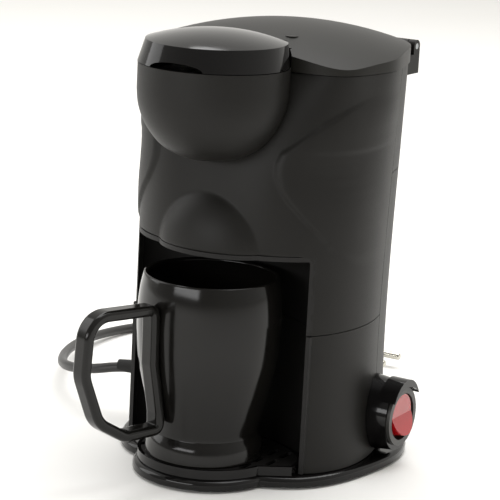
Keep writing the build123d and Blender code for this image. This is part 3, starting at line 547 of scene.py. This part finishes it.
        middle = min(shape.faces, key=lambda f: (f.calc_center_median() - Vector((55, -200, 90))).length)
        if middle.normal.y > 0:
            bmesh.ops.reverse_faces(shape, faces=shape.faces)
        bmesh.ops.scale(shape, vec=(MM, MM, MM), verts=shape.verts)
        mesh = bpy.data.meshes.new(self.name)
        shape.to_mesh(mesh)
        shape.free()
        piece = bpy.data.objects.new(self.name, mesh)
        bpy.context.scene.collection.objects.link(piece)
        add_modifier(piece, "SOLIDIFY", thickness=self.thickness * MM, offset=-1.0, use_even_offset=True)
        bake_modifiers(piece)
        return piece


def cut(piece: bpy.types.Object, tools: Iterable[bmesh.types.BMesh], operation: str = "DIFFERENCE") -> None:
    """Cut millimetre solids out of a piece, or join them to it.

    Args:
        piece: The closed piece.
        tools: The solids, which are freed.
        operation: DIFFERENCE or UNION.
    """
    for tool in tools:
        bmesh.ops.recalc_face_normals(tool, faces=tool.faces)
        bmesh.ops.scale(tool, vec=(MM, MM, MM), verts=tool.verts)
        mesh = bpy.data.meshes.new("tool")
        tool.to_mesh(mesh)
        tool.free()
        cutter = bpy.data.objects.new("tool", mesh)
        bpy.context.scene.collection.objects.link(cutter)
        add_modifier(piece, "BOOLEAN", operation=operation, object=cutter, solver="EXACT")
        bake_modifiers(piece)
        bpy.data.objects.remove(cutter)
        bpy.data.meshes.remove(mesh)


def finish_piece(piece: bpy.types.Object, body: str, look: Look, wardrobe: Wardrobe, *nodes: str,
                 crisp: float = 35.0) -> bpy.types.Object:
    """Shade, dress and seat a piece.

    Args:
        piece: The new piece.
        body: The body that it rides on.
        look: Its finish.
        wardrobe: Where the finish comes from.
        nodes: CAD nodes that it stands for.
        crisp: Angle in degrees past which an edge stays crisp.

    Returns:
        The piece.
    """
    piece.data.shade_smooth()
    piece.data.set_sharp_from_angle(angle=math.radians(crisp))
    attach(piece, body)
    wardrobe.dress(piece, look)
    if nodes:
        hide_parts(*nodes)
    LOG.info("made %s on %s", piece.name, body)
    return piece


def make_object(shape: bmesh.types.BMesh, name: str) -> bpy.types.Object:
    """Turn a millimetre mesh into an object in metres.

    Args:
        shape: The mesh, which is freed.
        name: The object's name.

    Returns:
        The object, at the origin.
    """
    bmesh.ops.remove_doubles(shape, verts=shape.verts, dist=0.001)
    bmesh.ops.recalc_face_normals(shape, faces=shape.faces)
    bmesh.ops.scale(shape, vec=(MM, MM, MM), verts=shape.verts)
    mesh = bpy.data.meshes.new(name)
    shape.to_mesh(mesh)
    shape.free()
    piece = bpy.data.objects.new(name, mesh)
    bpy.context.scene.collection.objects.link(piece)
    return piece


@dataclass
class Housing:
    """Lower and upper front walls, with the round filter bowl."""

    wardrobe: Wardrobe
    waist: float = 74.0
    gap: float = 0.4
    opening_top: float = 112.0
    bowl_y: float = -48.0
    bowl_profile: tuple[tuple[float, float], ...] = (
        (35.1, 198.3), (35.1, 196.0), (35.1, 186.0), (34.3, 179.0), (31.9, 172.0), (28.2, 166.0),
        (23.1, 160.5), (15.6, 156.3), (8.0, 154.4), (0.0, 154.0))
    bowl_wall: float = 2.2

    def bowl_solid(self, inset: float, top: float) -> bmesh.types.BMesh:
        """The bowl's closed outer or inner shape.

        Args:
            inset: Distance inside the outer surface.
            top: Height of its flat top.

        Returns:
            A closed revolved mesh.
        """
        line = smooth_profile([p for p in self.bowl_profile[2:]], 5)
        line = [(max(0.0, r - inset * min(1.0, r / 20)), z + inset * (1 - r / 35.1) ** 0.5) for r, z in line]
        closed = [(0.0, top), (line[0][0], top), *line[:-1], (0.0, line[-1][1])]
        return revolve(closed, (0.0, self.bowl_y), 128)

    def build(self) -> None:
        """Make both walls and the bowl."""
        plan = HousingPlan()
        lower = WallSkin("lower_wall", 6.4, self.waist - self.gap / 2, plan, row_step=2.2).build()
        finish_piece(lower, "housing", Look.HOUSING, self.wardrobe)
        upper = WallSkin("upper_wall", self.waist + self.gap / 2, 196.0, plan, opening_top=self.opening_top,
                         bowl=self.bowl_profile).build()
        finish_piece(upper, "housing", Look.HOUSING, self.wardrobe)
        bowl = make_object(self.bowl_solid(0.0, 198.3), "filter_bowl")
        cut(bowl, [self.bowl_solid(self.bowl_wall, 204.0)])
        outlet = revolve([(0, 100), (5.9, 100), (5.9, 175), (0, 175)], (0.0, -36.5), 48)
        cut(bowl, [outlet])
        finish_piece(bowl, "housing", Look.HOUSING, self.wardrobe, "upper_housing")

    def lining(self) -> None:
        """Make the half-round wall behind the mug, below the waist."""
        shape = bmesh.new()
        low, high = 6.4, self.waist - self.gap / 2
        bmesh.ops.create_grid(shape, x_segments=96, y_segments=24, size=1.0)
        for vert in shape.verts:
            angle = math.radians(1.5) + (vert.co.x + 1) / 2 * math.radians(177)
            height = low + (vert.co.y + 1) / 2 * (high - low)
            vert.co = (47.5 * math.cos(angle), -33.0 + 30.0 * math.sin(angle), height)
        bmesh.ops.recalc_face_normals(shape, faces=shape.faces)
        back = max(shape.faces, key=lambda f: f.calc_center_median().y)
        if back.normal.y > 0:
            bmesh.ops.reverse_faces(shape, faces=shape.faces)
        bmesh.ops.scale(shape, vec=(MM, MM, MM), verts=shape.verts)
        mesh = bpy.data.meshes.new("niche_lining")
        shape.to_mesh(mesh)
        shape.free()
        piece = bpy.data.objects.new("niche_lining", mesh)
        bpy.context.scene.collection.objects.link(piece)
        add_modifier(piece, "SOLIDIFY", thickness=2.2 * MM, offset=-1.0, use_even_offset=True)
        bake_modifiers(piece)
        finish_piece(piece, "housing", Look.INNER, self.wardrobe, "lower_housing")


# --- Mug ---------------------------------------------------------------------------------


@dataclass
class Mug:
    """Waisted mug with a stepped foot, and its ear handle."""

    wardrobe: Wardrobe
    axis_y: float = -41.2
    wall: float = 2.4
    floor: float = 23.2
    outer: tuple[tuple[float, float], ...] = (
        (28.4, 10.7), (28.3, 13.5), (27.6, 18.2), (26.2, 21.4), (25.8, 22.7), (26.2, 25.5), (28.0, 33.0),
        (31.0, 45.0), (33.5, 58.0), (34.5, 71.0), (34.5, 81.0), (33.6, 91.0), (32.2, 97.8))
    handle: tuple[tuple[float, float, float], ...] = (
        (36.6, 78.0, 3.0), (37.0, 86.0, 3.0), (75.0, 87.5, 11.0), (77.0, 60.0, 14.0), (68.0, 37.0, 14.0),
        (52.0, 27.5, 9.0), (31.5, 27.5, 3.0), (31.8, 36.0, 6.0), (36.4, 60.0, 6.0))
    handle_turn: float = -106.0

    def build(self) -> None:
        """Make the cup; its handle keeps the frame's shape."""
        outside = smooth_profile(self.outer, 5)
        inside = [(r - self.wall, z) for r, z in reversed(outside) if z > self.floor + 2.5]
        rim = [(32.0, 98.3), (31.3, 98.6), (30.6, 98.4), (30.0, 97.8)]
        low = inside[-1]
        corner = [(low[0] - 0.5, low[1] - 1.2), (low[0] - 1.8, self.floor + 0.4), (low[0] - 3.5, self.floor)]
        foot = [(0.0, 12.2), (24.0, 12.2), (25.2, 11.8), (26.0, 10.9), (26.8, 10.6), (28.0, 10.6)]
        shape = revolve([*foot, *outside[1:], *rim, *inside[1:], *corner, (0.0, self.floor)],
                        (0.0, self.axis_y), 144)
        piece = make_object(shape, "mug_cup")
        finish_piece(piece, "mug", Look.MUG, self.wardrobe, "mug", crisp=50)


# --- Lead --------------------------------------------------------------------------------


@dataclass
class Lead:
    """The mains lead: out of its boot at the left, round to the rear, and a tied coil there."""

    wardrobe: Wardrobe
    diameter: float = 5.2
    route: tuple[Point, ...] = (
        (-59.5, 12.0, 27.0), (-79.5, 7.8, 26.2), (-99.0, 2.5, 21.5), (-124.0, 15.0, 16.0),
        (-144.0, 42.0, 11.5), (-159.0, 73.0, 8.0), (-167.5, 106.0, 5.0), (-167.0, 138.0, 2.7),
        (-155.0, 162.0, 2.7), (-135.0, 173.5, 2.7), (-116.0, 173.5, 2.7))
    coil_centre: tuple[float, float] = (-99.0, 140.0)
    coil_radii: tuple[float, ...] = (32.6, 27.4, 32.6)
    coil_heights: tuple[float, ...] = (2.7, 2.7, 8.3)
    coil_start: float = 104.0
    points_a_turn: int = 14
    tail: tuple[Point, ...] = ((-98.0, 170.2, 7.4), (-91.0, 170.0, 6.9), (-84.0, 170.0, 6.9))

    def coil_points(self) -> list[Point]:
        """The turns of the coil, one after the other."""
        out = []
        cx, cy = self.coil_centre
        start = math.radians(self.coil_start)
        turns = len(self.coil_radii)
        per = self.points_a_turn
        for k in range(turns * per + 1):
            turn = min(k / per, turns - 0.001)
            i = int(turn)
            nxt = min(i + 1, turns - 1)
            ease = smoothstep(0.7, 1.0, turn - i)
            radius = self.coil_radii[i] + (self.coil_radii[nxt] - self.coil_radii[i]) * ease
            height = self.coil_heights[i] + (self.coil_heights[nxt] - self.coil_heights[i]) * ease
            angle = start - 2 * math.pi * k / per
            out.append((cx + radius * math.cos(angle), cy + radius * math.sin(angle), height))
        return out

    def build(self) -> None:
        out = [*self.route, *self.coil_points(), *self.tail]
        curve = bpy.data.curves.new("mains_lead", "CURVE")
        curve.dimensions = "3D"
        curve.bevel_depth = self.diameter / 2 * MM
        curve.bevel_resolution = 6
        curve.resolution_u = 8
        curve.use_fill_caps = True
        spline = curve.splines.new("NURBS")
        spline.points.add(len(out) - 1)
        for point, place in zip(spline.points, out):
            point.co = (*[c * MM for c in place], 1.0)
        spline.order_u = 3
        spline.use_endpoint_u = True
        piece = bpy.data.objects.new("mains_lead", curve)
        bpy.context.scene.collection.objects.link(piece)
        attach(piece, "housing")
        curve.materials.append(self.wardrobe.materials[Look.LEAD])
        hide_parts("mains_cord", "cord_coil")
        LOG.info("made mains_lead on housing")


# --- Studio ------------------------------------------------------------------------------


@dataclass
class Studio:
    """Camera, soft lights and a pale floor."""

    azimuth: float = 30.2
    elevation: float = 13.2
    roll: float = 2.96
    distance: float = 1019.7
    focal_length: float = 150.48
    aim_right: float = -3.399
    aim_up: float = 102.02

    def camera(self) -> None:
        """Place the camera."""
        az, el, roll = (math.radians(a) for a in (self.azimuth, self.elevation, self.roll))
        back = Vector((math.sin(az) * math.cos(el), -math.cos(az) * math.cos(el), math.sin(el)))
        right = Vector((math.cos(az), math.sin(az), 0.0))
        up = back.cross(right)
        across = right * math.cos(roll) + up * math.sin(roll)
        upward = up * math.cos(roll) - right * math.sin(roll)
        place = right * self.aim_right + Vector((0, 0, self.aim_up)) + back * self.distance
        turn = Matrix((across, upward, back)).transposed().to_4x4()
        data = bpy.data.cameras.new("camera")
        data.lens = self.focal_length
        data.sensor_width = 36.0
        data.clip_end = 50.0
        camera = bpy.data.objects.new("camera", data)
        camera.matrix_world = Matrix.Translation(place * MM) @ turn
        bpy.context.scene.collection.objects.link(camera)
        bpy.context.scene.camera = camera

    def world(self) -> None:
        """Bright behind and at the sides, dimmer in front."""
        world = bpy.data.worlds.new("studio")
        bpy.context.scene.world = world
        world.use_nodes = True
        tree = world.node_tree
        tree.nodes.clear()
        where = add_node(tree, "ShaderNodeTexCoord")
        axes = add_node(tree, "ShaderNodeSeparateXYZ", None, {"Vector": where.outputs["Generated"]})
        side = add_node(tree, "ShaderNodeMapRange",
                        {"From Min": -1.0, "From Max": 1.0, "To Min": 0.30, "To Max": 1.0},
                        {"Value": axes.outputs["Y"]})
        colour = add_node(tree, "ShaderNodeBackground", {"Color": linear("#fdfbf6")},
                          {"Strength": side.outputs["Result"]})
        add_node(tree, "ShaderNodeOutputWorld", None, {"Surface": colour.outputs["Background"]})

    def light(self, name: str, place: Point, aim: Point, size: tuple[float, float], watts: float) -> None:
        """Add one soft rectangular light, in millimetres."""
        data = bpy.data.lights.new(name, "AREA")
        data.shape = "RECTANGLE"
        data.size, data.size_y = (s * MM for s in size)
        data.energy = watts
        lamp = bpy.data.objects.new(name, data)
        toward = Vector(aim) - Vector(place)
        turn = toward.to_track_quat("-Z", "Y").to_matrix().to_4x4()
        lamp.matrix_world = Matrix.Translation(Vector(place) * MM) @ turn
        bpy.context.scene.collection.objects.link(lamp)

    def floor(self) -> None:
        """Lay a wide pale floor."""
        shape = bmesh.new()
        bmesh.ops.create_grid(shape, x_segments=2, y_segments=2, size=12.0)
        mesh = bpy.data.meshes.new("floor")
        shape.to_mesh(mesh)
        shape.free()
        floor = bpy.data.objects.new("floor", mesh)
        floor.data.materials.append(Finish("painted_board_white", "#f6f5f2", "#f8f7f5", 0.75, 0.03, 4.0, 0.0,
                                           specular=0.2, blotch_mm=400).material())
        bpy.context.scene.collection.objects.link(floor)

    def build(self) -> None:
        """Set up the whole studio."""
        scene = bpy.context.scene
        scene.view_settings.view_transform = "Standard"
        self.camera()
        self.world()
        self.floor()
        self.light("top_softbox", (0, 500, 1900), (0, 0, 0), (2200, 1600), 40)
        self.light("left_softbox", (-1300, -300, 700), (0, 0, 100), (700, 1100), 5)
        self.light("front_window", (-230, -1430, 430), (0, 0, 205), (1100, 300), 6)


def main() -> None:
    """Build the coffee maker's looks around its frame."""
    logging.basicConfig(level=logging.INFO, format="%(message)s")
    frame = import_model()
    wardrobe = Wardrobe()
    Studio().build()
    nodes = frame["nodes"]
    Lead(wardrobe).build()
    housing = Housing(wardrobe)
    housing.build()
    housing.lining()
    Mug(wardrobe).build()
    plan = {
        Look.HOUSING: ["rear_cover", "tank_wall"],
        Look.LID: ["tank_lid"],
        Look.GLOSS: ["filter_cap", "base_plate", "drip_tray", "switch_pod"],
        Look.INNER: ["niche_hood", "deck", "brew_funnel", "filter_basket", "spout_arm", "thermostat",
                     "thermal_fuse", "cord_clamp", "drip_grille", "valve_body"],
        Look.MUG: ["mug_handle"],
        Look.ROCKER: ["switch_rocker"],
        Look.SWITCH: ["switch_body"],
        Look.TANK: ["water_tank", "valve_ball"],
        Look.MESH: ["filter_mesh"],
        Look.ZINC: ["hinge_pins", "lid_screws", "rocker_pin", "hose_clamps", "base_screws", "heater_screws",
                    "heating_element", "heater_bracket", "water_pipe", "switch_terminals"],
        Look.CAST: ["heater_block"],
        Look.SILICONE: ["outlet_hose", "inlet_hose", "riser_hose"],
        Look.RUBBER: ["feet", "cord_boot"],
        Look.LEAD: ["mains_plug", "cord_tie"],
        Look.PINS: ["plug_pins"],
        Look.WIRE: ["wires"],
    }
    for look, names in plan.items():
        wardrobe.keep(nodes, look, names)


if __name__ == "__main__":
    main()
